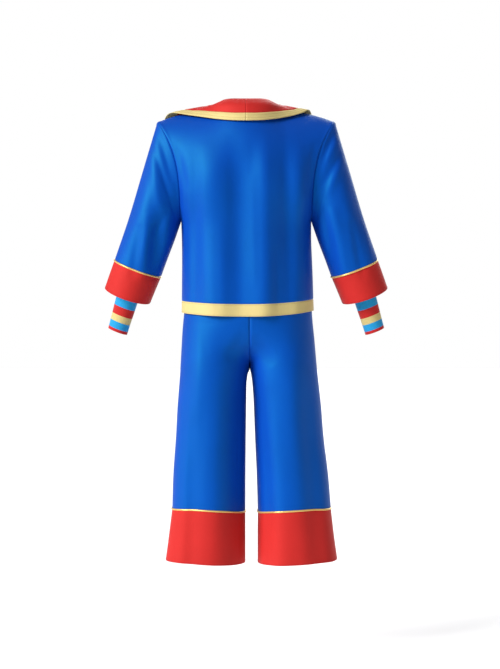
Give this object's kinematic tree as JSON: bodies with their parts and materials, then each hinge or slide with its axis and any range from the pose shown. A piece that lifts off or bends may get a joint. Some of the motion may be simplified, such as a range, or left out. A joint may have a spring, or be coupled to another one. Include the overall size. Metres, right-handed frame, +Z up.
{
  "type": "clown costume, jacket and cropped trousers in worn form",
  "caption": "Hollow worn clown costume: blue jacket with wide red collar, red cuffs, yellow bands, striped undersleeves, and blue cropped trousers with red cuffs.",
  "frame": {"origin": "between the shoulders, level with the high points of the shoulder seams, where the wearer carries the jacket", "axes": "+Z up along the standing body, -Y out of the garment's front, +X to the wearer's left"},
  "size_m": [0.807, 0.275, 1.3142],
  "materials": {
    "blue_cloth": "smooth satin-like polyester, soft sheen",
    "red_cloth": "smooth polyester, low sheen",
    "yellow_cloth": "smooth pale yellow polyester, low sheen",
    "gold_piping": "metallic gold piping, glossy",
    "striped_knit": "fine stretch knit in light blue, red and yellow stripes, matt"
  },
  "bodies": {
    "root": {"jacket_back": "blue_cloth", "jacket_front_left": "blue_cloth", "jacket_front_right": "blue_cloth", "jacket_hem_band_back": "yellow_cloth", "jacket_hem_band_front_left": "yellow_cloth", "jacket_hem_band_front_right": "yellow_cloth", "sleeve_left": "blue_cloth", "sleeve_cuff_left": "red_cloth", "sleeve_piping_left": "gold_piping", "undersleeve_left": "striped_knit", "collar_left": "red_cloth", "collar_band_left": "yellow_cloth", "trouser_leg_left": "blue_cloth", "trouser_cuff_left": "red_cloth", "trouser_piping_left": "gold_piping", "sleeve_right": "blue_cloth", "sleeve_cuff_right": "red_cloth", "sleeve_piping_right": "gold_piping", "undersleeve_right": "striped_knit", "collar_right": "red_cloth", "collar_band_right": "yellow_cloth", "trouser_leg_right": "blue_cloth", "trouser_cuff_right": "red_cloth", "trouser_piping_right": "gold_piping", "waistband": "blue_cloth"}
  },
  "joints": []
}
